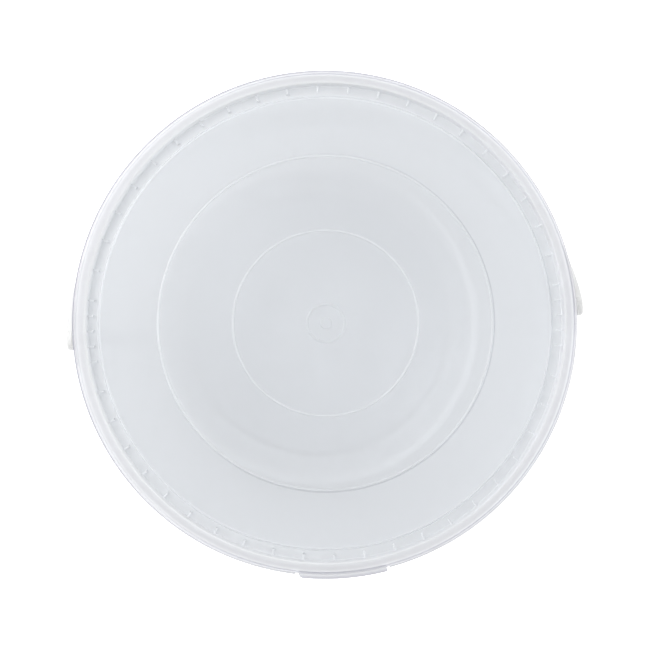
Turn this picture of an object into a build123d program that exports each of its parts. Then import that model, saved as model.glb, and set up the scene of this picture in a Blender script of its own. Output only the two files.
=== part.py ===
from build123d import *
import os
from math import cos, radians, sin, sqrt

# Plastic fermenting bucket, 30 litres, in millimetres.
# Origin: centre of the underside. +Z up, X along the handle's pivot line, -Y towards the opening tab.

# Bucket: a tapered pail with a thin wall
BUCKET_HEIGHT = 358.0
WALL = 2.0
FLOOR = 2.4
INNER_BASE_R = 158.8
INNER_TOP_R = 181.0
BASE_CORNER_R = 9.0
PUSH_UP = 5.0  # the middle of the base stands this far off the ground
PUSH_UP_R = 131.0
PUSH_UP_CORNER_R = 3.0
BASE_GATE_R = 6.0
BASE_GATE_DEPTH = 0.8
RIM_OUTER_R = 185.4
RIM_DEPTH = 6.2
RIM_ROUNDING = 1.8

# Collar under the rim: two flanges joined by upright ribs
FLANGE = 2.0
GUARD_FLANGE_Z = 342.0
GUARD_FLANGE_R = 187.8
LOWER_FLANGE_Z = 306.0
LOWER_FLANGE_R = 187.0
COLLAR_RIB = 1.6
COLLAR_RIBS_PER_SIDE = 16
COLLAR_RIB_INNER_R = 176.0
COLLAR_RIB_START = 11.0  # degrees from the pivot line to the first rib
COLLAR_RIB_ARC = 180.0 - 2 * COLLAR_RIB_START

# Ear lugs on the pivot line: boxes open at the bottom
PIVOT_Z = 322.0
EAR_OUTER_X = 189.6
EAR_INNER_X = 176.0
EAR_PLATE = 2.0
EAR_HALF_WIDTH = 20.0
EAR_CAVITY_HALF_WIDTH = 17.5
EAR_CAVITY_X = 182.6
EAR_ROOF = 2.5
EAR_CORNER_R = 3.0
EAR_HOLE_R = 4.5
PEG_CLEARANCE = 0.1

# Lid
LID_WALL = 1.5
LID_TOP = 362.0
PANEL_TOP = 357.0
CENTRE_RISE = 0.8  # the middle of the panel is this much higher
CENTRE_STEP_R = 124.4
CENTRE_STEP_WIDTH = 1.2
INNER_BEAD_R = 69.3
BEAD_SECTION_R = 1.1
BEAD_HEIGHT = 0.5
LID_GATE_R = 4.5
LID_GATE_RING_R = 14.0
LID_GATE_RING_WIDTH = 1.2
LID_GATE_HEIGHT = 0.5
GUTTER_INNER_R = 169.0
GUTTER_FLOOR = 353.0
GUTTER_SLOPE = 1.2
RIM_CHANNEL_R = 180.1
SKIRT_SHOULDER_Z = 358.0
SKIRT_SHOULDER_R = 187.9
SKIRT_FOOT_Z = 351.4
SKIRT_FOOT_R = 188.5
SKIRT_LIP_R = 190.0
SKIRT_BOTTOM = 349.5
SNAP_BEAD_R = 185.8
SNAP_BEAD_TOP = 351.6
SHOULDER_ROUNDING = 2.6
RIM_EDGE_ROUNDING = 1.6
PANEL_EDGE_ROUNDING = 0.8
GUTTER_CORNER_R = 1.0
LIP_ROUNDING = 0.6
GUTTER_RIB_LENGTH = 5.4
GUTTER_RIB_THICKNESS = 1.1
GUTTER_RIB_HEIGHT = 2.6
GUTTER_RIB_COUNT = 48
GUTTER_RIB_PITCH = 360.0 / GUTTER_RIB_COUNT
GUTTER_RIB_PHASE = -GUTTER_RIB_PITCH / 4

# Opening tab in the lid's skirt
TAB_ARC = 20.3  # degrees
TAB_SLIT_ARC = 0.7
TAB_LIP_R = 192.3
TAB_LIP = 1.7
TAB_TOP = 358.9
TAB_HINGE_GAP = 0.4
TAB_CUT_INNER_R = 185.6
TAB_CORNER_R = 4.0

# Sealing ring in the lid's channel
GASKET_INNER_R = 181.6
GASKET_OUTER_R = 184.6
GASKET_BOTTOM = 358.4
GASKET_ROUNDING = 0.6

# Bail handle: a channel-section strap on three tangent arcs, hanging at the back
BAIL_HALF_WIDTH = 199.1
BAIL_SHIFT = 0.7  # it has slid this far to the right in its ears
BAIL_REACH = 226.0
BAIL_REST_ANGLE = 35.5  # degrees below the horizontal
BAIL_JOIN_ANGLE = 45.0  # where the side arcs meet the middle arc
STRAP_WIDTH = 12.0
STRAP_DEPTH = 4.2
STRAP_WEB = 2.2
STRAP_FLANGE = 1.6
GRIP_HALF_ARC = 20.0
GRIP_WIDTH = 17.0
GRIP_WALL = 1.8
GRIP_PROUD = 0.8
GRIP_CORNER_R = 2.2
GRIP_END_WALL_ARC = 1.0
GRIP_RIBS = 9
GRIP_RIB_SPAN = 36.0
GRIP_RIB_THICKNESS = 1.2
PADDLE_R = 7.5
PADDLE_WALL = 1.6
PADDLE_BEVEL = 1.2
PEG_SHOULDER_R = 5.6
PEG_SIDE_PLAY = 1.0  # from the ear's plate to the shoulder and to the snap head
PEG_HEAD_R = 5.6
PEG_TIP_R = 3.6
PEG_HEAD_LENGTH = 2.6

# Worked out from the sizes above
WALL_SLOPE = (INNER_TOP_R - INNER_BASE_R) / BUCKET_HEIGHT
OUTER_BASE_R = INNER_BASE_R + WALL
RIM_UNDERSIDE = BUCKET_HEIGHT - RIM_DEPTH
EAR_PLATE_INNER_X = EAR_OUTER_X - EAR_PLATE
EAR_ROOF_Z = GUARD_FLANGE_Z + FLANGE - EAR_ROOF
PANEL_BOTTOM = PANEL_TOP - LID_WALL
BEAD_SECTION_Z = PANEL_TOP + CENTRE_RISE + BEAD_HEIGHT - BEAD_SECTION_R
GUTTER_UNDERSIDE = GUTTER_FLOOR - LID_WALL
RIM_INNER_R = RIM_CHANNEL_R - LID_WALL
CHANNEL_ROOF = LID_TOP - LID_WALL
GRIP_RADIAL_DEPTH = STRAP_DEPTH + 2 * GRIP_PROUD

# The bail's arcs meet tangentially: the two radii follow from its half width and its reach
RADIUS_DIFFERENCE = (BAIL_REACH - BAIL_HALF_WIDTH) / (sqrt(2) - 1)
SIDE_ARC_R = (BAIL_HALF_WIDTH + BAIL_REACH + RADIUS_DIFFERENCE) / 2
MIDDLE_ARC_R = SIDE_ARC_R - RADIUS_DIFFERENCE
SIDE_ARC_CENTRE = BAIL_HALF_WIDTH - SIDE_ARC_R
MIDDLE_ARC_CENTRE = BAIL_REACH - MIDDLE_ARC_R
BAIL_PLANE = Plane(
    origin=(BAIL_SHIFT, 0, PIVOT_Z),
    x_dir=(1, 0, 0),
    z_dir=(0, sin(radians(BAIL_REST_ANGLE)), cos(radians(BAIL_REST_ANGLE))),
)


def corner(sketch, radius, height):
    """The profile's vertex nearest to a radius and a height."""
    return sketch.vertices().sort_by_distance((radius, height, 0))[0]


def wall_radius(height):
    """Inner radius of the tapered wall at a height."""
    return INNER_BASE_R + WALL_SLOPE * height


def bail_band(outer_inset, inner_inset):
    """The bail's outline between two insets from its outer face, in the bail's plane."""
    with BuildLine(Plane.XY) as outline:
        for inset in (outer_inset, inner_inset):
            CenterArc((SIDE_ARC_CENTRE, 0), SIDE_ARC_R - inset, 0, BAIL_JOIN_ANGLE)
            CenterArc(
                (0, MIDDLE_ARC_CENTRE),
                MIDDLE_ARC_R - inset,
                BAIL_JOIN_ANGLE,
                180 - 2 * BAIL_JOIN_ANGLE,
            )
            CenterArc((-SIDE_ARC_CENTRE, 0), SIDE_ARC_R - inset, 180 - BAIL_JOIN_ANGLE, BAIL_JOIN_ANGLE)
        for side in (1, -1):
            Line((side * (BAIL_HALF_WIDTH - outer_inset), 0), (side * (BAIL_HALF_WIDTH - inner_inset), 0))
    return outline.line


def grip_sector(outer_inset, inner_inset, half_arc):
    """The outline of a sector of the middle arc between two insets, in the bail's plane."""
    outer_r = MIDDLE_ARC_R - outer_inset
    inner_r = MIDDLE_ARC_R - inner_inset
    with BuildLine(Plane.XY) as outline:
        outer_arc = CenterArc((0, MIDDLE_ARC_CENTRE), outer_r, 90 - half_arc, 2 * half_arc)
        inner_arc = CenterArc((0, MIDDLE_ARC_CENTRE), inner_r, 90 - half_arc, 2 * half_arc)
        Line(outer_arc @ 0, inner_arc @ 0)
        Line(outer_arc @ 1, inner_arc @ 1)
    return outline.line


def ring_sector(inner_r, outer_r, arc):
    """The outline of a ring sector centred on the front, in a horizontal plane."""
    start = 270 - arc / 2
    with BuildLine(Plane.XY) as outline:
        outer_arc = CenterArc((0, 0), outer_r, start, arc)
        inner_arc = CenterArc((0, 0), inner_r, start, arc)
        Line(outer_arc @ 0, inner_arc @ 0)
        Line(outer_arc @ 1, inner_arc @ 1)
    return outline.line


# Bucket body
with BuildPart() as bucket_body:
    # Outside of the pail, with the push-up in its base and the bead round its rim
    with BuildSketch(Plane.XZ) as outside:
        with BuildLine():
            Polyline(
                (0, PUSH_UP),
                (PUSH_UP_R - PUSH_UP, PUSH_UP),
                (PUSH_UP_R, 0),
                (OUTER_BASE_R, 0),
                (wall_radius(RIM_UNDERSIDE) + WALL, RIM_UNDERSIDE),
                (RIM_OUTER_R, RIM_UNDERSIDE),
                (RIM_OUTER_R, BUCKET_HEIGHT),
                (0, BUCKET_HEIGHT),
                close=True,
            )
        make_face()
        fillet(corner(outside, OUTER_BASE_R, 0), BASE_CORNER_R)
        fillet(corner(outside, PUSH_UP_R, 0), PUSH_UP_CORNER_R)
        fillet(corner(outside, PUSH_UP_R - PUSH_UP, PUSH_UP), PUSH_UP_CORNER_R)
        fillet(corner(outside, RIM_OUTER_R, BUCKET_HEIGHT), RIM_ROUNDING)
    revolve(axis=Axis.Z)

    # Collar flanges and the upright ribs between them
    with BuildSketch(Plane.XY.offset(GUARD_FLANGE_Z)):
        Circle(GUARD_FLANGE_R)
    extrude(amount=FLANGE)
    with BuildSketch(Plane.XY.offset(LOWER_FLANGE_Z)):
        Circle(LOWER_FLANGE_R)
    extrude(amount=FLANGE)
    rib_length = LOWER_FLANGE_R - COLLAR_RIB_INNER_R
    rib_middle_r = LOWER_FLANGE_R - rib_length / 2
    with BuildSketch(Plane.XY.offset(LOWER_FLANGE_Z)):
        for first in (COLLAR_RIB_START, COLLAR_RIB_START + 180):
            with PolarLocations(rib_middle_r, COLLAR_RIBS_PER_SIDE, first, COLLAR_RIB_ARC, endpoint=True):
                Rectangle(rib_length, COLLAR_RIB)
    extrude(amount=GUARD_FLANGE_Z - LOWER_FLANGE_Z + FLANGE)

    # Ear lugs
    ear_depth = EAR_OUTER_X - EAR_INNER_X
    ear_middle_x = (EAR_OUTER_X + EAR_INNER_X) / 2
    with BuildSketch(Plane.XY.offset(LOWER_FLANGE_Z)) as ear_outline:
        with Locations((ear_middle_x, 0), (-ear_middle_x, 0)):
            Rectangle(ear_depth, 2 * EAR_HALF_WIDTH)
        fillet(ear_outline.vertices().filter_by(lambda v: abs(v.X) > ear_middle_x), EAR_CORNER_R)
    extrude(amount=GUARD_FLANGE_Z + FLANGE - LOWER_FLANGE_Z)
    cavity_depth = EAR_PLATE_INNER_X - EAR_CAVITY_X
    cavity_middle_x = (EAR_PLATE_INNER_X + EAR_CAVITY_X) / 2
    with BuildSketch(Plane.XY.offset(LOWER_FLANGE_Z)):
        with Locations((cavity_middle_x, 0), (-cavity_middle_x, 0)):
            Rectangle(cavity_depth, 2 * EAR_CAVITY_HALF_WIDTH)
    extrude(amount=EAR_ROOF_Z - LOWER_FLANGE_Z, mode=Mode.SUBTRACT)
    for side in (1, -1):
        ear_plane = Plane(origin=(side * cavity_middle_x, 0, PIVOT_Z), x_dir=(0, 1, 0), z_dir=(side, 0, 0))
        with BuildSketch(ear_plane):
            Circle(EAR_HOLE_R)
        extrude(amount=cavity_depth / 2 + 2 * EAR_PLATE, mode=Mode.SUBTRACT)

    # Inside of the pail
    with BuildSketch(Plane.XZ) as inside:
        with BuildLine():
            Polyline(
                (0, PUSH_UP + FLOOR),
                (PUSH_UP_R - PUSH_UP + FLOOR / 2, PUSH_UP + FLOOR),
                (PUSH_UP_R + FLOOR / 2, FLOOR),
                (wall_radius(FLOOR), FLOOR),
                (INNER_TOP_R, BUCKET_HEIGHT),
                (0, BUCKET_HEIGHT),
                close=True,
            )
        make_face()
        fillet(corner(inside, wall_radius(FLOOR), FLOOR), BASE_CORNER_R - WALL)
        fillet(corner(inside, PUSH_UP_R + FLOOR / 2, FLOOR), PUSH_UP_CORNER_R)
        fillet(corner(inside, PUSH_UP_R - PUSH_UP + FLOOR / 2, PUSH_UP + FLOOR), PUSH_UP_CORNER_R)
    revolve(axis=Axis.Z, mode=Mode.SUBTRACT)
    top_circles = bucket_body.edges().filter_by(GeomType.CIRCLE).group_by(Axis.Z)[-1]
    rim_inner_edge = top_circles.sort_by(SortBy.RADIUS)[0]
    fillet(rim_inner_edge, RIM_ROUNDING / 2)

    # Moulding gate in the middle of the base
    with BuildSketch(Plane.XY.offset(PUSH_UP)):
        Circle(BASE_GATE_R)
    extrude(amount=-BASE_GATE_DEPTH)
bucket_body.part.label = "bucket_body"


# Lid
with BuildPart() as lid:
    with BuildSketch(Plane.XZ) as lid_section:
        with BuildLine():
            Polyline(
                (0, PANEL_TOP + CENTRE_RISE),
                (CENTRE_STEP_R, PANEL_TOP + CENTRE_RISE),
                (CENTRE_STEP_R + CENTRE_STEP_WIDTH, PANEL_TOP),
                (GUTTER_INNER_R, PANEL_TOP),
                (GUTTER_INNER_R + GUTTER_SLOPE, GUTTER_FLOOR),
                (RIM_INNER_R - GUTTER_SLOPE / 2, GUTTER_FLOOR),
                (RIM_INNER_R, LID_TOP),
                (SKIRT_SHOULDER_R - LID_WALL / 2, LID_TOP),
                (SKIRT_SHOULDER_R, SKIRT_SHOULDER_Z),
                (SKIRT_FOOT_R, SKIRT_FOOT_Z),
                (SKIRT_LIP_R, SKIRT_FOOT_Z - LID_WALL / 4),
                (SKIRT_LIP_R, SKIRT_BOTTOM),
                (SKIRT_FOOT_R - LID_WALL, SKIRT_BOTTOM),
                (SNAP_BEAD_R, SKIRT_BOTTOM + LID_WALL / 2),
                (SNAP_BEAD_R, SNAP_BEAD_TOP - LID_WALL / 2),
                (SKIRT_FOOT_R - LID_WALL, SNAP_BEAD_TOP),
                (SKIRT_SHOULDER_R - LID_WALL, SKIRT_SHOULDER_Z),
                (SKIRT_SHOULDER_R - 2 * LID_WALL, CHANNEL_ROOF),
                (RIM_CHANNEL_R, CHANNEL_ROOF),
                (RIM_CHANNEL_R - GUTTER_SLOPE / 2, GUTTER_UNDERSIDE),
                (GUTTER_INNER_R - LID_WALL / 2, GUTTER_UNDERSIDE),
                (GUTTER_INNER_R - LID_WALL, PANEL_BOTTOM),
                (CENTRE_STEP_R + CENTRE_STEP_WIDTH, PANEL_BOTTOM),
                (CENTRE_STEP_R, PANEL_BOTTOM + CENTRE_RISE),
                (0, PANEL_BOTTOM + CENTRE_RISE),
                close=True,
            )
        make_face()
        fillet(corner(lid_section, SKIRT_SHOULDER_R - LID_WALL / 2, LID_TOP), SHOULDER_ROUNDING)
        fillet(corner(lid_section, RIM_INNER_R, LID_TOP), RIM_EDGE_ROUNDING)
        fillet(corner(lid_section, GUTTER_INNER_R, PANEL_TOP), PANEL_EDGE_ROUNDING)
        fillet(corner(lid_section, GUTTER_INNER_R + GUTTER_SLOPE, GUTTER_FLOOR), GUTTER_CORNER_R)
        fillet(corner(lid_section, RIM_INNER_R - GUTTER_SLOPE / 2, GUTTER_FLOOR), GUTTER_CORNER_R)
        fillet(corner(lid_section, SKIRT_FOOT_R, SKIRT_FOOT_Z), LIP_ROUNDING)
    revolve(axis=Axis.Z)

    # Raised beads on the panel: one at the step, one further in
    with BuildSketch(Plane.XZ):
        with Locations((CENTRE_STEP_R + CENTRE_STEP_WIDTH / 2, BEAD_SECTION_Z), (INNER_BEAD_R, BEAD_SECTION_Z)):
            Circle(BEAD_SECTION_R)
    revolve(axis=Axis.Z)

    # Moulding gate and a plain ring in the middle
    with BuildSketch(Plane.XY.offset(PANEL_TOP + CENTRE_RISE)):
        Circle(LID_GATE_RING_R)
        Circle(LID_GATE_RING_R - LID_GATE_RING_WIDTH, mode=Mode.SUBTRACT)
        Circle(LID_GATE_R)
    extrude(amount=LID_GATE_HEIGHT)

    # Radial ribs in the gutter, twice as close beside the ears
    gutter_rib_middle_r = RIM_INNER_R - GUTTER_RIB_LENGTH / 2
    with BuildSketch(Plane.XY.offset(GUTTER_FLOOR - LID_WALL / 2)):
        with PolarLocations(gutter_rib_middle_r, GUTTER_RIB_COUNT, GUTTER_RIB_PHASE):
            Rectangle(GUTTER_RIB_LENGTH, GUTTER_RIB_THICKNESS)
        for first in (GUTTER_RIB_PHASE - GUTTER_RIB_PITCH / 2, GUTTER_RIB_PHASE - GUTTER_RIB_PITCH / 2 + 180):
            with PolarLocations(gutter_rib_middle_r, 2, first, GUTTER_RIB_PITCH, endpoint=True):
                Rectangle(GUTTER_RIB_LENGTH, GUTTER_RIB_THICKNESS)
    extrude(amount=GUTTER_RIB_HEIGHT + LID_WALL / 2)

    # Room for the opening tab in the skirt
    with BuildSketch(Plane.XY.offset(SKIRT_BOTTOM)):
        make_face(ring_sector(TAB_CUT_INNER_R, SKIRT_LIP_R + LID_WALL, TAB_ARC + 2 * TAB_SLIT_ARC))
    extrude(amount=TAB_TOP + TAB_HINGE_GAP - SKIRT_BOTTOM, mode=Mode.SUBTRACT)
lid.part.label = "lid"


# Opening tab
with BuildPart() as opening_tab:
    with BuildSketch(Plane.XZ):
        with BuildLine():
            Polyline(
                (SKIRT_SHOULDER_R - LID_WALL, TAB_TOP),
                (SKIRT_SHOULDER_R - TAB_HINGE_GAP, TAB_TOP),
                (SKIRT_SHOULDER_R, SKIRT_SHOULDER_Z),
                (SKIRT_FOOT_R, SKIRT_FOOT_Z),
                (TAB_LIP_R, SKIRT_BOTTOM + TAB_LIP),
                (TAB_LIP_R, SKIRT_BOTTOM),
                (SKIRT_FOOT_R - LID_WALL, SKIRT_BOTTOM),
                (SKIRT_FOOT_R - LID_WALL, SKIRT_FOOT_Z),
                close=True,
            )
        make_face()
    revolve(axis=Axis.Z)
    with BuildSketch(Plane.XY.offset(SKIRT_BOTTOM)) as tab_outline:
        make_face(ring_sector(TAB_CUT_INNER_R, TAB_LIP_R, TAB_ARC))
        fillet(tab_outline.vertices().group_by(SortBy.DISTANCE)[-1].sort_by(Axis.X)[0], TAB_CORNER_R)
    extrude(amount=TAB_TOP - SKIRT_BOTTOM, mode=Mode.INTERSECT)
opening_tab.part.label = "opening_tab"


# Sealing ring
with BuildPart() as lid_gasket:
    with BuildSketch(Plane.XY.offset(GASKET_BOTTOM)):
        Circle(GASKET_OUTER_R)
        Circle(GASKET_INNER_R, mode=Mode.SUBTRACT)
    extrude(amount=CHANNEL_ROOF - GASKET_BOTTOM)
    fillet(lid_gasket.edges().group_by(Axis.Z)[0], GASKET_ROUNDING)
lid_gasket.part.label = "lid_gasket"


# Bail handle
with BuildPart() as bail_handle:
    # Strap: a web with a flange along each edge
    with BuildSketch(BAIL_PLANE):
        make_face(bail_band(0, STRAP_WEB))
    extrude(amount=STRAP_WIDTH / 2, both=True)
    for flange_start in (STRAP_WIDTH / 2 - STRAP_FLANGE, -STRAP_WIDTH / 2):
        with BuildSketch(BAIL_PLANE.offset(flange_start)):
            make_face(bail_band(0, STRAP_DEPTH))
        extrude(amount=STRAP_FLANGE)

    # Grip: wider and a little thicker, hollow on its inside, with cross ribs
    with BuildSketch(BAIL_PLANE):
        make_face(grip_sector(-GRIP_PROUD, STRAP_DEPTH + GRIP_PROUD, GRIP_HALF_ARC))
    extrude(amount=GRIP_WIDTH / 2, both=True)
    beside_the_middle = MIDDLE_ARC_R * sin(radians(GRIP_HALF_ARC / 2))
    grip_corners = (
        bail_handle.edges()
        .filter_by(GeomType.LINE)
        .filter_by(lambda edge: abs(edge.length - GRIP_RADIAL_DEPTH) < STRAP_FLANGE / 2)
        .filter_by(lambda edge: abs(edge.center().X) > beside_the_middle)
        .filter_by(lambda edge: abs(edge.center().X) < SIDE_ARC_R / 2)
    )
    fillet(grip_corners, GRIP_CORNER_R)
    hollow_half_arc = GRIP_HALF_ARC - GRIP_END_WALL_ARC
    with BuildSketch(BAIL_PLANE):
        make_face(grip_sector(STRAP_WEB - GRIP_PROUD, STRAP_DEPTH + 2 * GRIP_PROUD, hollow_half_arc))
    extrude(amount=GRIP_WIDTH / 2 - GRIP_WALL, both=True, mode=Mode.SUBTRACT)
    cross_rib_depth = STRAP_DEPTH + GRIP_PROUD
    with BuildSketch(BAIL_PLANE.offset(-(GRIP_WIDTH - GRIP_WALL) / 2)):
        with Locations((0, MIDDLE_ARC_CENTRE)):
            with PolarLocations(
                MIDDLE_ARC_R - cross_rib_depth / 2,
                GRIP_RIBS,
                90 - GRIP_RIB_SPAN / 2,
                GRIP_RIB_SPAN,
                endpoint=True,
            ):
                Rectangle(cross_rib_depth, GRIP_RIB_THICKNESS)
    extrude(amount=GRIP_WIDTH - GRIP_WALL)

    # Paddle, peg and snap head at each end
    for side in (1, -1):
        outer_x = BAIL_HALF_WIDTH + side * BAIL_SHIFT
        paddle = Plane(origin=(side * outer_x, 0, PIVOT_Z), x_dir=(0, 1, 0), z_dir=(-side, 0, 0))
        shoulder_depth = BAIL_HALF_WIDTH - EAR_OUTER_X - PEG_SIDE_PLAY
        head_depth = BAIL_HALF_WIDTH - EAR_PLATE_INNER_X + PEG_SIDE_PLAY
        with BuildSketch(paddle):
            Circle(PADDLE_R - PADDLE_BEVEL)
        with BuildSketch(paddle.offset(PADDLE_BEVEL)):
            Circle(PADDLE_R)
        loft()
        with BuildSketch(paddle.offset(PADDLE_BEVEL)):
            Circle(PADDLE_R)
        extrude(amount=STRAP_WEB - PADDLE_BEVEL)
        with BuildSketch(paddle.offset(PADDLE_BEVEL)):
            Circle(PADDLE_R)
            Circle(PADDLE_R - PADDLE_WALL, mode=Mode.SUBTRACT)
        extrude(amount=STRAP_DEPTH - PADDLE_BEVEL)
        with BuildSketch(paddle.offset(PADDLE_BEVEL)):
            Circle(PEG_SHOULDER_R)
        extrude(amount=shoulder_depth - PADDLE_BEVEL)
        with BuildSketch(paddle.offset(PADDLE_BEVEL)):
            Circle(EAR_HOLE_R - PEG_CLEARANCE)
        extrude(amount=head_depth - PADDLE_BEVEL)
        with BuildSketch(paddle.offset(head_depth)):
            Circle(PEG_HEAD_R)
        with BuildSketch(paddle.offset(head_depth + PEG_HEAD_LENGTH)):
            Circle(PEG_TIP_R)
        loft()
bail_handle.part.label = "bail_handle"


os.makedirs("parts", exist_ok=True)
for piece in (bucket_body, lid, opening_tab, lid_gasket, bail_handle):
    export_step(piece.part, f"parts/{piece.part.label}.step")
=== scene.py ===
"""Plastic fermenting bucket seen from above: fine lid, litre scale, materials, floor, lights and camera."""

import math

import bmesh
import bpy
from mathutils import Matrix, Vector


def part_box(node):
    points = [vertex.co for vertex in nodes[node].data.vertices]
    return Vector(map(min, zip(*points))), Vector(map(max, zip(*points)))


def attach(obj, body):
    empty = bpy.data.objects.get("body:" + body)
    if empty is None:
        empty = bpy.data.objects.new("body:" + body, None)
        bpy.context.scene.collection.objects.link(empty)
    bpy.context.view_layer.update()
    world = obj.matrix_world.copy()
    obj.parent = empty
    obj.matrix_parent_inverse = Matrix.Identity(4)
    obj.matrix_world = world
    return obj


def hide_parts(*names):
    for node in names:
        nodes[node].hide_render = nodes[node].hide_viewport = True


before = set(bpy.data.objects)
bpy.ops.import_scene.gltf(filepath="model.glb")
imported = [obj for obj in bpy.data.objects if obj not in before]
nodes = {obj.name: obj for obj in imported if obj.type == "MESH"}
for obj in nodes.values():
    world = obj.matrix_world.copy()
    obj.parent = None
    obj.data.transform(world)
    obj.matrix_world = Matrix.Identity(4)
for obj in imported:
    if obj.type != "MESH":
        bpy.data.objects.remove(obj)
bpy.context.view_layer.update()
MM = 0.001

# ------------------------------------------------------------ camera: above the lid, a little to the left
CAMERA_HEIGHT = 1.05  # above the lid
CAMERA_ROLL = math.radians(3.9)  # the handle's pivot line rises to the right
CAMERA_LEFT = 0.0248  # the lens is this far to the left of the bucket's axis
CAMERA_FRONT = 0.0022  # and this far towards the opening tab
LENS = 78.2
SENSOR = 36.0
AIM_LEFT = 0.0005  # the point aimed at, level with the lid's foot, is this far to the left of the axis
AIM_FRONT = 0.0014  # and this far towards the opening tab

image_right = Vector((math.cos(CAMERA_ROLL), -math.sin(CAMERA_ROLL), 0))
image_up = Vector((math.sin(CAMERA_ROLL), math.cos(CAMERA_ROLL), 0))

LID_LOW, LID_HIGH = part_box("lid")
LID_TOP = LID_HIGH[2]
LID_FOOT = LID_LOW[2]
LID_R = LID_HIGH[0]


def add_camera():
    data = bpy.data.cameras.new("camera")
    data.lens = LENS
    data.sensor_width = SENSOR
    camera = bpy.data.objects.new("camera", data)
    bpy.context.scene.collection.objects.link(camera)
    aim = Vector((0, 0, LID_FOOT)) - AIM_LEFT * image_right - AIM_FRONT * image_up
    place = Vector((0, 0, LID_TOP + CAMERA_HEIGHT))
    place -= CAMERA_LEFT * image_right + CAMERA_FRONT * image_up
    back = (place - aim).normalized()
    right = image_up.cross(back).normalized()
    up = back.cross(right)
    turn = Matrix((right, up, back)).transposed().to_4x4()
    camera.matrix_world = Matrix.Translation(place) @ turn
    bpy.context.scene.camera = camera


# ------------------------------------------------------------ mesh helpers
MAX_REACH = 0.45  # share of a side that the rounding at one of its ends may take


def face_outwards(bm):
    """Turns each closed shell of a mesh so that its faces look outwards."""
    bmesh.ops.recalc_face_normals(bm, faces=bm.faces)
    bm.normal_update()
    waiting = set(bm.faces)
    while waiting:
        seed = waiting.pop()
        shell = [seed]
        for face in shell:
            for edge in face.edges:
                for other in edge.link_faces:
                    if other in waiting:
                        waiting.remove(other)
                        shell.append(other)
        middle = seed.calc_center_median()
        volume = 0
        for face in shell:
            volume += (face.calc_center_median() - middle).dot(face.normal) * face.calc_area()
        if volume < 0:
            bmesh.ops.reverse_faces(bm, faces=shell)


def new_piece(name, bm, body):
    """Turns a bmesh into a smooth-shaded object that rides on a body."""
    face_outwards(bm)
    mesh = bpy.data.meshes.new(name)
    bm.to_mesh(mesh)
    bm.free()
    for polygon in mesh.polygons:
        polygon.use_smooth = True
    piece = bpy.data.objects.new(name, mesh)
    bpy.context.scene.collection.objects.link(piece)
    weighted = piece.modifiers.new("weighted", "WEIGHTED_NORMAL")
    weighted.keep_sharp = True
    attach(piece, body)
    return piece


def rounded(corners, steps=5):
    """Points (radius, height) of a closed outline from its corners (radius, height, rounding), in mm."""
    points = []
    for index, (radius, height, rounding) in enumerate(corners):
        corner = Vector((radius, height))
        if rounding == 0:
            points.append(corner)
            continue
        before = Vector(corners[index - 1][:2]) - corner
        after = Vector(corners[(index + 1) % len(corners)][:2]) - corner
        reach = rounding * math.tan((math.pi - before.angle(after)) / 2)
        reach = min(reach, MAX_REACH * before.length, MAX_REACH * after.length)
        start = corner + before.normalized() * reach
        end = corner + after.normalized() * reach
        for step in range(steps + 1):
            t = step / steps
            points.append(start * (1 - t) ** 2 + corner * 2 * t * (1 - t) + end * t ** 2)
    return points


# ------------------------------------------------------------ lid: a fine turned shell with a notch, mm
LID_WALL = 1.5
RIM_TOP = LID_TOP / MM
SKIRT_BOTTOM = LID_FOOT / MM
PANEL_TOP = RIM_TOP - 5.0
CENTRE_TOP = PANEL_TOP + 0.8
STEP_R = 124.4
STEP_WIDTH = 1.2
INNER_BEAD_R = 69.3
BEAD_HALF_WIDTH = 1.0
BEAD_HEIGHT = 0.5
BEAD_ROUNDING = 0.5
GATE_R = 4.5
MARK_RING_R = 14.0
PANEL_R = 169.0
GUTTER_FLOOR = PANEL_TOP - 4.0
GUTTER_START = 170.2
GUTTER_END = 178.0
RIM_INNER_R = 178.6
SHOULDER_R = 187.9
SHOULDER_Z = RIM_TOP - 4.0
FOOT_R = 188.5
FOOT_Z = SKIRT_BOTTOM + 1.9
LIP_R = LID_R / MM
LIP_TOP = FOOT_Z - LID_WALL / 4
SNAP_R = 185.8
SNAP_LOW = SKIRT_BOTTOM + 0.75
SNAP_HIGH = SKIRT_BOTTOM + 1.35
SNAP_END = SKIRT_BOTTOM + 2.1
NOTCH_Z = RIM_TOP - 2.7
NOTCH_OUTER_R = 187.66
NOTCH_INNER_R = 185.62
NOTCH_ARC = math.radians(21.7)
NOTCH_SEGMENTS = 32
LID_SEGMENTS = 448
MEASURE_SLACK = 1e-4
RIB_COUNT = 48
RIB_PITCH = math.tau / RIB_COUNT
RIB_PHASE = -RIB_PITCH / 4
RIB_LENGTH = 5.4
RIB_THICKNESS = 1.1
RIB_HEIGHT = 2.6
RIB_SUNK = 0.3
RIB_IN_WALL = 0.2
RIB_ROUNDING = 0.35

# Roundings of the section's corners
PANEL_ROUNDING = 0.8
GUTTER_ROUNDING = 1.0
RIM_INNER_ROUNDING = 1.6
RIM_OUTER_ROUNDING = 2.6
HOOK_ROUNDING = 0.8
SHOULDER_ROUNDING = 0.5
SHOULDER_INNER_ROUNDING = 0.4
FOOT_ROUNDING = 0.6
LIP_ROUNDING = 0.35
FINE_ROUNDING = 0.3
SNAP_ROUNDING = 0.2
STEP_ROUNDING = 0.5


def bead(radius, before_z, after_z):
    """Corners of a low round bead where the panel's height goes from before_z to after_z."""
    top = max(before_z, after_z) + BEAD_HEIGHT
    return [
        (radius - BEAD_HALF_WIDTH, before_z, BEAD_ROUNDING),
        (radius - BEAD_HALF_WIDTH / 2, top, BEAD_ROUNDING),
        (radius + BEAD_HALF_WIDTH / 2, top, BEAD_ROUNDING),
        (radius + BEAD_HALF_WIDTH, after_z, BEAD_ROUNDING),
    ]


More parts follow.
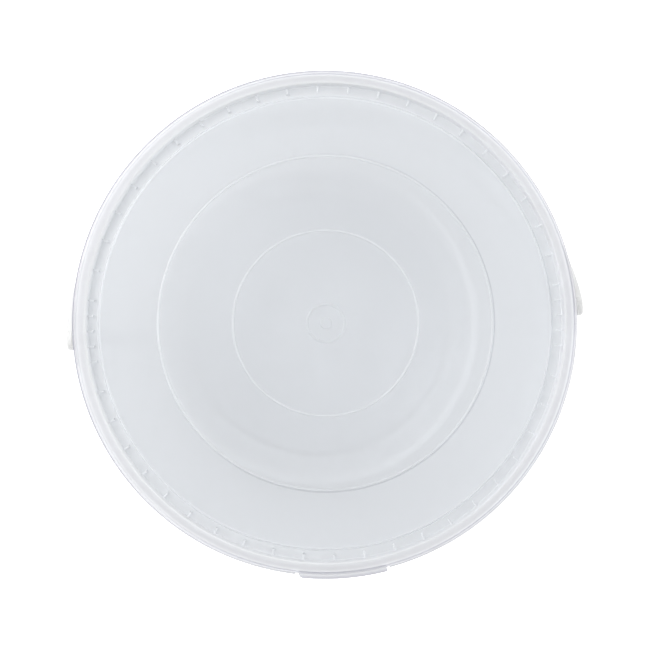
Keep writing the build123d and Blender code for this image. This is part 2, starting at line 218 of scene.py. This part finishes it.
def lid_corners():
    """The lid's section: top side outwards from the centre, down the skirt, and back along the underside."""
    gate_top = CENTRE_TOP + BEAD_HEIGHT
    top = [
        (0, gate_top, 0),
        (GATE_R - BEAD_ROUNDING, gate_top, BEAD_ROUNDING),
        (GATE_R, CENTRE_TOP, BEAD_ROUNDING),
    ]
    top += bead(MARK_RING_R, CENTRE_TOP, CENTRE_TOP)
    top += bead(INNER_BEAD_R, CENTRE_TOP, CENTRE_TOP)
    top += bead(STEP_R + STEP_WIDTH / 2, CENTRE_TOP, PANEL_TOP)
    top += [
        (PANEL_R, PANEL_TOP, PANEL_ROUNDING),
        (GUTTER_START, GUTTER_FLOOR, GUTTER_ROUNDING),
        (GUTTER_END, GUTTER_FLOOR, GUTTER_ROUNDING),
        (RIM_INNER_R, RIM_TOP, RIM_INNER_ROUNDING),
        (SHOULDER_R - LID_WALL / 2, RIM_TOP, RIM_OUTER_ROUNDING),
    ]
    skirt = [
        (NOTCH_OUTER_R, NOTCH_Z, 0),
        (SHOULDER_R, SHOULDER_Z, SHOULDER_ROUNDING),
        (FOOT_R, FOOT_Z, FOOT_ROUNDING),
        (LIP_R, LIP_TOP, LIP_ROUNDING),
        (LIP_R, SKIRT_BOTTOM, FINE_ROUNDING),
        (FOOT_R - LID_WALL, SKIRT_BOTTOM, SNAP_ROUNDING),
        (SNAP_R, SNAP_LOW, SNAP_ROUNDING),
        (SNAP_R, SNAP_HIGH, SNAP_ROUNDING),
        (FOOT_R - LID_WALL, SNAP_END, FINE_ROUNDING),
        (SHOULDER_R - LID_WALL, SHOULDER_Z, SHOULDER_INNER_ROUNDING),
        (NOTCH_INNER_R, NOTCH_Z, 0),
    ]
    underside = [
        (SHOULDER_R - 2 * LID_WALL, RIM_TOP - LID_WALL, HOOK_ROUNDING),
        (RIM_INNER_R + LID_WALL, RIM_TOP - LID_WALL, STEP_ROUNDING),
        (GUTTER_END + LID_WALL, GUTTER_FLOOR - LID_WALL, HOOK_ROUNDING),
        (PANEL_R - LID_WALL / 2, GUTTER_FLOOR - LID_WALL, HOOK_ROUNDING),
        (PANEL_R - LID_WALL, PANEL_TOP - LID_WALL, STEP_ROUNDING),
        (STEP_R + STEP_WIDTH, PANEL_TOP - LID_WALL, STEP_ROUNDING),
        (STEP_R, CENTRE_TOP - LID_WALL, STEP_ROUNDING),
        (0, CENTRE_TOP - LID_WALL, 0),
    ]
    return top, skirt, underside


def make_lid():
    """Turns the section round the axis; within the notch the skirt is left out and its cut edge closed."""
    top, skirt, underside = lid_corners()
    outline = rounded(top + skirt + underside)
    cut_outer, cut_inner = [i for i, point in enumerate(outline) if abs(point.y - NOTCH_Z) < MEASURE_SLACK]
    start = -math.pi / 2 - NOTCH_ARC / 2
    rest = LID_SEGMENTS - NOTCH_SEGMENTS
    angles = [start + NOTCH_ARC * i / NOTCH_SEGMENTS for i in range(NOTCH_SEGMENTS)]
    angles += [start + NOTCH_ARC + (math.tau - NOTCH_ARC) * i / rest for i in range(rest)]
    last = len(outline) - 1
    bm = bmesh.new()
    poles = {i: bm.verts.new((0, 0, outline[i].y * MM)) for i in (0, last)}
    rings = []
    for index, angle in enumerate(angles):
        ring = dict(poles)
        for i in range(1, last):
            if 0 < index < NOTCH_SEGMENTS and cut_outer < i < cut_inner:
                continue
            radius, height = outline[i]
            place = (radius * MM * math.cos(angle), radius * MM * math.sin(angle), height * MM)
            ring[i] = bm.verts.new(place)
        rings.append(ring)
    for index, ring in enumerate(rings):
        following = rings[(index + 1) % len(rings)]
        in_notch = index < NOTCH_SEGMENTS
        i = 0
        while i < last:
            j = cut_inner if in_notch and i == cut_outer else i + 1
            loop = [ring[i], ring[j], following[j], following[i]]
            bm.faces.new(list(dict.fromkeys(loop)))
            i = j
    for index in (0, NOTCH_SEGMENTS):
        bm.faces.new([rings[index][i] for i in range(cut_outer, cut_inner + 1)])
    lid_shell = new_piece("lid_shell", bm, "lid")
    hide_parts("lid")
    return lid_shell


def make_gutter_ribs():
    """Low upright ribs against the gutter's outer wall, twice as close beside the ears."""
    angles = [RIB_PHASE + RIB_PITCH * i for i in range(RIB_COUNT)]
    for side in (0, math.pi):
        angles += [side + RIB_PHASE - RIB_PITCH / 2, side + RIB_PHASE + RIB_PITCH / 2]
    bm = bmesh.new()
    bottom = GUTTER_FLOOR - RIB_SUNK
    inner = RIM_INNER_R - RIB_LENGTH
    outer = RIM_INNER_R + RIB_IN_WALL
    for angle in angles:
        turn = Matrix.Rotation(angle, 3, "Z")
        rib = bmesh.ops.create_cube(bm, size=1)["verts"]
        for vert in rib:
            radius = inner if vert.co.x < 0 else outer
            height = bottom if vert.co.z < 0 else GUTTER_FLOOR + RIB_HEIGHT
            vert.co = turn @ (Vector((radius, vert.co.y * RIB_THICKNESS, height)) * MM)
        edges = {edge for vert in rib for edge in vert.link_edges}
        bmesh.ops.bevel(
            bm, geom=list(edges), offset=RIB_ROUNDING * MM, segments=2, affect="EDGES", profile=0.5
        )
    return new_piece("gutter_ribs", bm, "lid")


# ------------------------------------------------------------ litre scale: raised marks on the wall, mm
WALL_BASE_R = 160.8
WALL_SLOPE = 0.062
INNER_BASE_R = 158.8
MM3_PER_LITRE = 1e6
LIQUID_FLOOR = 4.8  # mean height of the inside of the base
SCALE_ANGLE = math.radians(178.2)
SCALE_LITRES = range(3, 26)
LONG_EVERY = 5
MARK_COLUMNS = 8
MARK_HEIGHT = 0.9
MARK_END_SHARE = 0.55  # a mark's height at its ends, as a share of its height
MARK_PROUD = 0.5
MARK_SUNK = 0.5
LONG_MARK = 20.0
SHORT_MARK = 11.0
NUMBER_SIZE = 15.0
NUMBER_GAP = 3.0
NUMBER_CURVE_STEPS = 4


def height_of(litres):
    """Height that a volume reaches inside the tapered wall."""
    cube = INNER_BASE_R ** 3 + 3 * WALL_SLOPE * litres * MM3_PER_LITRE / math.pi
    return LIQUID_FLOOR + (cube ** (1 / 3) - INNER_BASE_R) / WALL_SLOPE


def on_wall(across, height, proud):
    """A point on the outer wall, across to the right as seen from outside."""
    radius = WALL_BASE_R + WALL_SLOPE * height + proud
    angle = SCALE_ANGLE + across / radius
    return Vector((radius * math.cos(angle), radius * math.sin(angle), height)) * MM


def is_long(litres):
    return litres % LONG_EVERY == 0


def add_mark(bm, length, middle):
    """Adds a bar with chamfered edges and lower ends, bent to the wall."""
    rows = []
    for column in range(MARK_COLUMNS + 1):
        share = MARK_END_SHARE if column in (0, MARK_COLUMNS) else 1.0
        half = MARK_HEIGHT / 2 * share
        section = [
            (-half, -MARK_SUNK),
            (half, -MARK_SUNK),
            (half, MARK_PROUD / 2),
            (half / 2, MARK_PROUD),
            (-half / 2, MARK_PROUD),
            (-half, MARK_PROUD / 2),
        ]
        across = length * column / MARK_COLUMNS
        rows.append([bm.verts.new(on_wall(across, middle + up, proud)) for up, proud in section])
    for row, following in zip(rows, rows[1:]):
        for i in range(len(row)):
            j = (i + 1) % len(row)
            bm.faces.new((row[i], row[j], following[j], following[i]))
    bm.faces.new(rows[0])
    bm.faces.new(rows[-1])


def add_number(bm, text, across, middle):
    """Adds a raised number to the scale, bent to the wall."""
    curve = bpy.data.curves.new("number", "FONT")
    curve.body = text
    curve.size = NUMBER_SIZE
    curve.align_y = "CENTER"
    curve.extrude = (MARK_PROUD + MARK_SUNK) / 2
    curve.resolution_u = NUMBER_CURVE_STEPS
    holder = bpy.data.objects.new("number", curve)
    mesh = bpy.data.meshes.new_from_object(holder)
    first = len(bm.verts)
    bm.from_mesh(mesh)
    bm.verts.ensure_lookup_table()
    lift = (MARK_PROUD - MARK_SUNK) / 2
    for vert in bm.verts[first:]:
        vert.co = on_wall(across + vert.co.x, middle + vert.co.y, vert.co.z + lift)
    bpy.data.objects.remove(holder)
    bpy.data.curves.remove(curve)
    bpy.data.meshes.remove(mesh)


def make_scale():
    bm = bmesh.new()
    for litres in SCALE_LITRES:
        add_mark(bm, LONG_MARK if is_long(litres) else SHORT_MARK, height_of(litres))
    for litres in filter(is_long, SCALE_LITRES):
        add_number(bm, str(litres), LONG_MARK + NUMBER_GAP, height_of(litres))
    return new_piece("litre_scale", bm, "bucket")


# ------------------------------------------------------------ materials
SIDE_SOFTNESS = 0.6  # cosine at which one side of the axis is fully told from the other


class Tree:
    """A material's node tree with short calls to add nodes and join them."""

    def __init__(self, name):
        self.material = bpy.data.materials.new(name)
        self.material.use_nodes = True
        self.tree = self.material.node_tree
        self.tree.nodes.clear()
        self.coordinates = self.add("TexCoord").outputs["Object"]

    def add(self, kind, settings=None, **inputs):
        node = self.tree.nodes.new("ShaderNode" + kind)
        for key, value in (settings or {}).items():
            setattr(node, key, value)
        for key, value in inputs.items():
            self.put(node.inputs[key.replace("_", " ")], value)
        return node

    def put(self, socket, value):
        if isinstance(value, bpy.types.NodeSocket):
            self.tree.links.new(value, socket)
        else:
            socket.default_value = value

    def noise(self, scale, detail=2.0, roughness=0.5, swirl=0.0):
        settings = {"Scale": scale, "Detail": detail, "Roughness": roughness, "Distortion": swirl}
        return self.add("TexNoise", Vector=self.coordinates, **settings).outputs["Fac"]

    def remap(self, value, low, high, to_low, to_high):
        node = self.add("MapRange", Value=value)
        for index, number in enumerate((low, high, to_low, to_high), start=1):
            node.inputs[index].default_value = number
        return node.outputs["Result"]

    def maths(self, operation, a, b=0.0):
        node = self.add("Math", {"operation": operation})
        self.put(node.inputs[0], a)
        self.put(node.inputs[1], b)
        return node.outputs["Value"]

    def radius(self):
        """Distance from the bucket's axis."""
        flat = self.add("Mapping", Vector=self.coordinates, Scale=(1, 1, 0)).outputs["Vector"]
        return self.add("VectorMath", {"operation": "LENGTH"}, Vector=flat).outputs["Value"]

    def height(self):
        """Height above the floor."""
        return self.add("SeparateXYZ", Vector=self.coordinates).outputs["Z"]

    def angle_from(self, degrees):
        """Angle about the bucket's axis, measured from a direction."""
        parts = self.add("SeparateXYZ", Vector=self.coordinates)
        angle = self.maths("ARCTAN2", parts.outputs["Y"], parts.outputs["X"])
        return self.maths("SUBTRACT", angle, math.radians(degrees))

    def twofold(self, degrees):
        """1 along a horizontal line through the axis at an angle, 0 along the line square to it."""
        doubled = self.maths("MULTIPLY", self.angle_from(degrees), 2.0)
        return self.remap(self.maths("COSINE", doubled), -1, 1, 0, 1)

    def towards(self, degrees):
        """1 on the side of the axis that faces an angle, 0 on the side away from it."""
        cosine = self.maths("COSINE", self.angle_from(degrees))
        return self.remap(cosine, -SIDE_SOFTNESS, SIDE_SOFTNESS, 0, 1)

    def near(self, value, middle, half_width, strength=1.0):
        """The strength at a value, falling to 0 at half_width from it."""
        distance = self.maths("ABSOLUTE", self.maths("SUBTRACT", value, middle))
        closeness = self.remap(distance, 0, half_width, 1, 0)
        return self.maths("MULTIPLY", closeness, strength)

    def side_line(self, value, middle, half_width, degrees, away, facing, full=1):
        """A line along a radius, with one strength on the side that faces an angle and one on the other."""
        strength = self.remap(self.towards(degrees), 0, full, away, facing)
        return self.near(value, middle, half_width, strength)

    def largest(self, *values):
        result = values[0]
        for value in values[1:]:
            result = self.maths("MAXIMUM", result, value)
        return result

    def mix_colour(self, factor, a, b):
        node = self.add("Mix", {"data_type": "RGBA"})
        self.put(node.inputs[0], factor)
        self.put(node.inputs[6], a)
        self.put(node.inputs[7], b)
        return node.outputs[2]

    def bump(self, height, strength, distance):
        return self.add("Bump", Height=height, Strength=strength, Distance=distance).outputs["Normal"]

    def mix(self, factor, a, b):
        node = self.add("MixShader")
        self.put(node.inputs[0], factor)
        self.put(node.inputs[1], a)
        self.put(node.inputs[2], b)
        return node.outputs[0]

    def finish(self, surface):
        output = self.add("OutputMaterial")
        self.tree.links.new(surface, output.inputs["Surface"])
        return self.material


LID_ROUGHNESS = 0.34
WALL_ROUGHNESS = 0.4
ROUGHNESS_SPREAD = 0.03
LID_GRAIN = 700.0  # mould texture, cells per metre
WALL_GRAIN = 500.0
GRAIN_STRENGTH = 0.05
GRAIN_DEPTH = 0.0003
CLOUDS = (7.0, 3.0, 0.55)  # cells per metre, detail, roughness
CLOUD_SHARE = 0.6  # share of the colour's variation that comes from the clouds, the rest from the grain
CLOUD_LOW = 0.3  # the noise stays mostly between these two
CLOUD_HIGH = 0.7
PLASTIC_IOR = 1.49
# painted shade: a dark colour painted along the lid's edges and creases where shade falls
PAINTED_SHADE_COLOUR = (0.44, 0.43, 0.49, 1)
PAINTED_SHADE_GLOSS = 0.15  # share of the gloss that is left on a painted shade line
DULL_GLOSS = 0.2  # and on the rim's inner wall
# painted light: a whiter colour painted where the gutter and the rim's inner wall lie in the rim's shade
PAINTED_LIGHT_COLOUR = (0.99, 0.988, 0.988, 1)
STRAIGHT_THROUGH = (0.97, 0.98, 0.99, 1)


def milky_plastic(t, colours, clear, roughness, grain_scale, glow, painted_shade=0.0, painted_light=0.0, dull=0.0):
    """Milky see-through polypropylene: part of the light goes straight through, part is spread.

    A sheet spreads light once, where it enters; where light leaves the sheet it goes straight on.
    clear is the share that goes straight through, and glow the spread share that comes out behind.
    """
    clouds = t.noise(*CLOUDS)
    grain = t.noise(grain_scale)
    coarse = t.maths("MULTIPLY", clouds, CLOUD_SHARE)
    fine = t.maths("MULTIPLY", grain, 1 - CLOUD_SHARE)
    colour = t.mix_colour(t.maths("ADD", coarse, fine), *colours)
    # painted light: whitens the colour in the gutter and on the rim's inner wall
    colour = t.mix_colour(painted_light, colour, PAINTED_LIGHT_COLOUR)
    # painted shade: darkens the colour along the painted shade lines
    colour = t.mix_colour(painted_shade, colour, PAINTED_SHADE_COLOUR)
    bump = t.bump(grain, GRAIN_STRENGTH, GRAIN_DEPTH)
    smoother, rougher = roughness - ROUGHNESS_SPREAD, roughness + ROUGHNESS_SPREAD
    rough = t.remap(clouds, CLOUD_LOW, CLOUD_HIGH, smoother, rougher)
    body = t.add("BsdfPrincipled", Base_Color=colour, Roughness=rough, Normal=bump, Specular_IOR_Level=0.0)
    behind = t.add("BsdfTranslucent", Color=colour, Normal=bump)
    milk = t.mix(glow, body.outputs[0], behind.outputs[0])
    through = t.add("BsdfTransparent", Color=STRAIGHT_THROUGH).outputs[0]
    sheet = t.mix(clear, milk, through)
    gloss = t.add("BsdfGlossy", Color=(1, 1, 1, 1), Roughness=rough, Normal=bump).outputs[0]
    shine = t.add("Fresnel", IOR=PLASTIC_IOR, Normal=bump).outputs[0]
    # the painted shade lines also lose most of their gloss
    shine = t.maths("MULTIPLY", shine, t.remap(painted_shade, 0, 1, 1, PAINTED_SHADE_GLOSS))
    shine = t.maths("MULTIPLY", shine, t.remap(dull, 0, 1, 1, DULL_GLOSS))
    leaving = t.add("NewGeometry").outputs["Backfacing"]
    return t.finish(t.mix(leaving, t.mix(shine, sheet, gloss), through))


LID_COLOURS = ((0.945, 0.953, 0.968, 1), (0.92, 0.93, 0.95, 1))
THIN_CLEAR = 0.5  # share of the light that goes straight through the lid's sheet where it is thin
THICK_CLEAR = 0.12
RIM_THICKNESS = 0.6  # how far the hooked rim goes from thin to thick
LID_GLOW = 0.5
RIM_WALL_GLOW = 0.2
# how strongly painted light whitens the gutter floor
GUTTER_PAINTED_LIGHT = 0.8
RIM_START = (0.1772, 0.1788)  # between these radii the sheet turns into the rim, metres
LIP_START = (0.1887, 0.1892)
GUTTER_EDGE = (0.1700, 0.1712)
RIM_WALL_R = 0.1786
RIM_WALL_WIDTH = 0.0014  # half of the inner wall's width
RIM_SHADE_WIDTH = 0.0025
STEP_BEAD_R = STEP_R + STEP_WIDTH / 2
BEAD_CORE = 0.0013

# Lines round the lid: radius, half width, the side where a line is strongest in degrees, its strength
# on the other side and on that side, and how soon it is fully strong. A line that is stronger on one
# side follows the light: painted highlight or painted shade.
# Less clear, brighter lines along the beads, partly real thickness and partly painted highlight; the line on
# the panel's edge is painted highlight only
THICK_AND_HIGHLIGHT_LINES = (
    (INNER_BEAD_R * MM, BEAD_CORE, 0, 0.4, 0.4),
    # painted highlight: the step bead is brighter on the side towards the light
    (STEP_BEAD_R * MM, BEAD_CORE, 160, 0.1, 0.4),
    # painted highlight along the panel's edge
    (PANEL_R * MM, BEAD_CORE, 0, 0.5, 0.5),
)
# Painted shade: dark lines painted along the lid's edges and creases, stronger on one side as the light
# falls
PAINTED_SHADE_LINES = (
    (0.1264, 0.0009, -30, 0.05, 0.5),  # foot of the step
    (RIM_WALL_R, RIM_SHADE_WIDTH, -30, 0.02, 0.2),
    (0.1858, 0.0012, -10, 0.45, 1, 0.35),  # shoulder
    (0.1868, 0.0015, 130, 0, 0.55),  # outer edge of the rim
    (0.1877, 0.0012, 0, 0.8, 0.8),  # skirt
    (0.1894, 0.0016, 130, 0.5, 1.25),  # lip
)


def lid_plastic():
    """The lid: the rim and the beads are thicker and less clear; painted highlight lines brighten the beads
    and the panel's edge, painted shade lines darken its edges, and painted light whitens the gutter and the
    rim's inner wall.
    """
    t = Tree("lid_plastic")
    radius = t.radius()
    rim = t.remap(radius, *RIM_START, 0, RIM_THICKNESS)
    lip = t.remap(radius, *LIP_START, 0, 1)
    # the rim and the lip are truly thicker; the lines add painted highlights
    thick_and_highlit = t.largest(rim, lip, *(t.side_line(radius, *line) for line in THICK_AND_HIGHLIGHT_LINES))
    # painted light: the gutter floor is whitened where the rim shades it
    gutter = t.remap(radius, *GUTTER_EDGE, 0, GUTTER_PAINTED_LIGHT)
    # painted light on the rim's inner wall, whose gloss is also dulled
    rim_wall = t.near(radius, RIM_WALL_R, RIM_WALL_WIDTH)
    rim_shade = t.near(radius, RIM_WALL_R, RIM_SHADE_WIDTH)
    return milky_plastic(
        t,
        LID_COLOURS,
        clear=t.remap(thick_and_highlit, 0, 1, THIN_CLEAR, THICK_CLEAR),
        roughness=LID_ROUGHNESS,
        grain_scale=LID_GRAIN,
        glow=t.remap(rim_shade, 0, 1, LID_GLOW, RIM_WALL_GLOW),
        # painted shade lines darken the lid's edges and creases
        painted_shade=t.largest(*(t.side_line(radius, *line) for line in PAINTED_SHADE_LINES)),
        # painted light in the gutter and on the rim's inner wall
        painted_light=t.largest(gutter, rim_wall),
        dull=rim_wall,
    )


TAB_COLOURS = ((0.80, 0.795, 0.82, 1), (0.76, 0.755, 0.78, 1))
TAB_LIP = (0.1895, 0.1915)
TAB_CLEAR = 0.2
TAB_LIP_CLEAR = 0.1
# painted shade along the tab's lip edge
TAB_LIP_PAINTED_SHADE = 0.7
TAB_GLOW = 0.4


def tab_plastic():
    """The tab is one solid thickness, so it looks a little greyer than the sheet; a painted shade line
    darkens its lip.
    """
    t = Tree("tab_plastic")
    lip = t.remap(t.radius(), *TAB_LIP, 0, 1)
    clear = t.remap(lip, 0, 1, TAB_CLEAR, TAB_LIP_CLEAR)
    # painted shade darkens the tab's lip
    painted_shade = t.maths("MULTIPLY", lip, TAB_LIP_PAINTED_SHADE)
    return milky_plastic(t, TAB_COLOURS, clear, LID_ROUGHNESS, LID_GRAIN, TAB_GLOW, painted_shade)


RIB_COLOURS = ((0.955, 0.96, 0.97, 1), (0.935, 0.94, 0.955, 1))
RIB_CLOUDS = 40.0
RIB_CLEAR = (0.4, 0.5)
RIB_GLOW = 0.15


def rib_plastic():
    """The gutter's ribs stand upright, so less light goes straight through them."""
    t = Tree("rib_plastic")
    clear = t.remap(t.noise(RIB_CLOUDS), CLOUD_LOW, CLOUD_HIGH, *RIB_CLEAR)
    return milky_plastic(t, RIB_COLOURS, clear, LID_ROUGHNESS, LID_GRAIN, RIB_GLOW)


# painted shade: the walls are coloured darker than the base, though they are the same plastic
WALL_SHADE_COLOUR = (0.65, 0.656, 0.667, 1)
BASE_COLOUR = (0.955, 0.963, 0.976, 1)
# painted shade: a bow-tie of darker colour across the base, standing in for the lights' reflection in it
BOWTIE_SHADE_COLOUR = (0.86, 0.868, 0.886, 1)
FLOW_COLOUR = (0.84, 0.85, 0.868, 1)
# whiter where the base's corner and ring are thicker, partly a painted highlight ring
THICK_HIGHLIGHT_COLOUR = (0.97, 0.972, 0.976, 1)
CLOUD_COLOUR = (0.6, 0.62, 0.66, 1)
CLOUD_TINT = 0.12
BASE_HEIGHTS = (0.009, 0.014)  # the base ends and the wall starts between these heights, metres
BASE_CORNER_R = 0.155
BASE_CORNER_WIDTH = 0.008
BASE_RING_R = 0.131
BASE_RING_WIDTH = 0.005
BASE_RING = 0.6  # strength
# the painted bow-tie shade is darkest along a line through the axis at this angle, in degrees
BOWTIE_SHADE_DIRECTION = 50
BOWTIE_SHADE_START = (0.04, 0.11)
FLOW = (9.0, 2.0, 0.5, 2.5)  # cells per metre, detail, roughness, swirl
FLOW_LEVELS = (0.4, 0.65)
FLOW_STRENGTH = 0.7
BASE_THICKNESS = 0.5
WALL_CLEAR = 0.3
WALL_THICK_CLEAR = 0.1
WALL_GLOW = 0.42
BASE_GLOW = 0.2


def wall_plastic():
    """The bucket: painted shade makes the walls darker than the base and lays a bow-tie of darker colour
    across the base; the base's corner and ring are whiter, partly where the plastic is thicker and partly a
    painted highlight; random flow swirls run through the base.
    """
    t = Tree("bucket_plastic")
    radius = t.radius()
    base = t.remap(t.height(), *BASE_HEIGHTS, 1, 0)
    corner = t.near(radius, BASE_CORNER_R, BASE_CORNER_WIDTH)
    ring = t.near(radius, BASE_RING_R, BASE_RING_WIDTH, BASE_RING)
    thick_and_highlit = t.maths("MULTIPLY", base, t.largest(corner, ring))
    # painted shade across the base, darker along a line through the axis
    bowtie_shade = t.maths("MULTIPLY", t.twofold(BOWTIE_SHADE_DIRECTION), t.remap(radius, *BOWTIE_SHADE_START, 0, 1))
    swirls = t.remap(t.noise(*FLOW), *FLOW_LEVELS, 0, FLOW_STRENGTH)
    # painted shade: darker walls, whiter base
    light = t.mix_colour(base, WALL_SHADE_COLOUR, BASE_COLOUR)
    light = t.mix_colour(t.maths("MULTIPLY", base, bowtie_shade), light, BOWTIE_SHADE_COLOUR)
    light = t.mix_colour(t.maths("MULTIPLY", base, swirls), light, FLOW_COLOUR)
    # whiter corner and ring: thicker plastic, and partly a painted highlight
    light = t.mix_colour(thick_and_highlit, light, THICK_HIGHLIGHT_COLOUR)
    dark = t.mix_colour(CLOUD_TINT, light, CLOUD_COLOUR)
    thickness = t.largest(t.maths("MULTIPLY", base, BASE_THICKNESS), thick_and_highlit)
    clear = t.remap(thickness, 0, 1, WALL_CLEAR, WALL_THICK_CLEAR)
    glow = t.remap(base, 0, 1, WALL_GLOW, BASE_GLOW)
    return milky_plastic(t, (light, dark), clear, WALL_ROUGHNESS, WALL_GRAIN, glow)


# painted shade: the marks are coloured darker than the wall, though moulded in the same plastic
SCALE_SHADE_COLOURS = ((0.42, 0.44, 0.48, 1), (0.36, 0.38, 0.42, 1))
SCALE_CLOUDS = 60.0
SCALE_CLEAR = (0.05, 0.15)
SCALE_GLOW = 0.3


def scale_plastic():
    """The raised scale is thicker than the wall, so less light goes straight through it; its darker colour
    is painted shade for the shading of its relief.
    """
    t = Tree("scale_plastic")
    clear = t.remap(t.noise(SCALE_CLOUDS), CLOUD_LOW, CLOUD_HIGH, *SCALE_CLEAR)
    return milky_plastic(t, SCALE_SHADE_COLOURS, clear, WALL_ROUGHNESS, WALL_GRAIN, SCALE_GLOW)


HANDLE_COLOURS = ((0.96, 0.96, 0.955, 1), (0.94, 0.94, 0.935, 1))
HANDLE_CLOUDS = (30.0, 3.0)
HANDLE_GRAIN = 900.0
HANDLE_GRAIN_STRENGTH = 0.08
HANDLE_ROUGHNESS = (0.3, 0.4)
HANDLE_GLOW = 0.45


def handle_plastic():
    """White moulded plastic with a satin gloss, which lets a little light through."""
    t = Tree("handle_plastic")
    clouds = t.noise(*HANDLE_CLOUDS)
    grain = t.noise(HANDLE_GRAIN)
    colour = t.mix_colour(clouds, *HANDLE_COLOURS)
    bump = t.bump(grain, HANDLE_GRAIN_STRENGTH, GRAIN_DEPTH)
    rough = t.remap(clouds, CLOUD_LOW, CLOUD_HIGH, *HANDLE_ROUGHNESS)
    body = t.add("BsdfPrincipled", Base_Color=colour, Roughness=rough, IOR=PLASTIC_IOR, Normal=bump)
    behind = t.add("BsdfTranslucent", Color=colour, Normal=bump)
    return t.finish(t.mix(HANDLE_GLOW, body.outputs[0], behind.outputs[0]))


SEAL_COLOURS = ((0.86, 0.86, 0.88, 1), (0.80, 0.80, 0.83, 1))
SEAL_CLOUDS = 40.0
SEAL_ROUGHNESS = 0.55
SEAL_IOR = 1.45
SEAL_THROUGH = (0.97, 0.97, 0.98, 1)
SEAL_GLOW = 0.5
SEAL_CLEAR = 0.35


def soft_seal():
    """Milky rubber-like sealing ring."""
    t = Tree("seal")
    colour = t.mix_colour(t.noise(SEAL_CLOUDS), *SEAL_COLOURS)
    body = t.add("BsdfPrincipled", Base_Color=colour, Roughness=SEAL_ROUGHNESS, IOR=SEAL_IOR)
    behind = t.add("BsdfTranslucent", Color=colour)
    through = t.add("BsdfTransparent", Color=SEAL_THROUGH)
    milk = t.mix(SEAL_GLOW, body.outputs[0], behind.outputs[0])
    return t.finish(t.mix(SEAL_CLEAR, milk, through.outputs[0]))


FLOOR_COLOURS = ((0.86, 0.86, 0.86, 1), (0.84, 0.84, 0.84, 1))
FLOOR_CLOUDS = 2.0
FLOOR_ROUGHNESS = 0.8
FLOOR_GLOW = 0.75
GLOW_START = (0.215, 0.255)  # the glow sets in between these distances from the axis; nearer in, the floor is darker, a painted shadow


def floor_white():
    """A white light table: it glows softly beside the bucket, but not under it, which leaves a painted
    shadow round and under the bucket.
    """
    t = Tree("floor_white")
    colour = t.mix_colour(t.noise(FLOOR_CLOUDS), *FLOOR_COLOURS)
    body = t.add("BsdfPrincipled", Base_Color=colour, Roughness=FLOOR_ROUGHNESS, Emission_Color=(1, 1, 1, 1))
    # no glow near the axis: a painted shadow round and under the bucket
    t.put(body.inputs["Emission Strength"], t.remap(t.radius(), *GLOW_START, 0, FLOOR_GLOW))
    return t.finish(body.outputs[0])


def dress(piece, material):
    slots = piece.data.materials
    slots.clear()
    slots.append(material)


# ------------------------------------------------------------ floor and lights
FLOOR_SIZE = 60.0
WORLD_STRENGTH = 0.52
BOX_SIZE = 1.0
KEY_PLACE = (-1.0, 0.55, 1.7)
KEY_POWER = 22
FILL_PLACE = (1.5, 0.1, 0.85)
FILL_POWER = 13


def add_floor():
    half = FLOOR_SIZE / 2
    mesh = bpy.data.meshes.new("floor")
    corners = [(-half, -half, 0), (half, -half, 0), (half, half, 0), (-half, half, 0)]
    mesh.from_pydata(corners, [], [(0, 1, 2, 3)])
    floor = bpy.data.objects.new("floor", mesh)
    bpy.context.scene.collection.objects.link(floor)
    mesh.materials.append(floor_white())


def add_softbox(name, place, power):
    """A square soft light that shines at the middle of the bucket."""
    data = bpy.data.lights.new(name, "AREA")
    data.size = BOX_SIZE
    data.energy = power
    light = bpy.data.objects.new(name, data)
    bpy.context.scene.collection.objects.link(light)
    light.location = place
    aim = Vector((0, 0, LID_TOP / 2))
    light.rotation_euler = (Vector(place) - aim).to_track_quat("Z", "Y").to_euler()
    return light


def add_world():
    world = bpy.data.worlds.new("studio")
    world.use_nodes = True
    background = world.node_tree.nodes["Background"]
    background.inputs["Color"].default_value = (1, 1, 1, 1)
    background.inputs["Strength"].default_value = WORLD_STRENGTH
    bpy.context.scene.world = world


add_camera()
lid_finish = lid_plastic()
dress(make_lid(), lid_finish)
dress(make_gutter_ribs(), rib_plastic())
dress(make_scale(), scale_plastic())
dress(nodes["lid"], lid_finish)
dress(nodes["opening_tab"], tab_plastic())
dress(nodes["bucket_body"], wall_plastic())
dress(nodes["bail_handle"], handle_plastic())
dress(nodes["lid_gasket"], soft_seal())
add_floor()
add_world()
add_softbox("key", KEY_PLACE, KEY_POWER)
fill = add_softbox("fill", FILL_PLACE, FILL_POWER)
fill.visible_glossy = False
bpy.context.scene.view_settings.view_transform = "Standard"
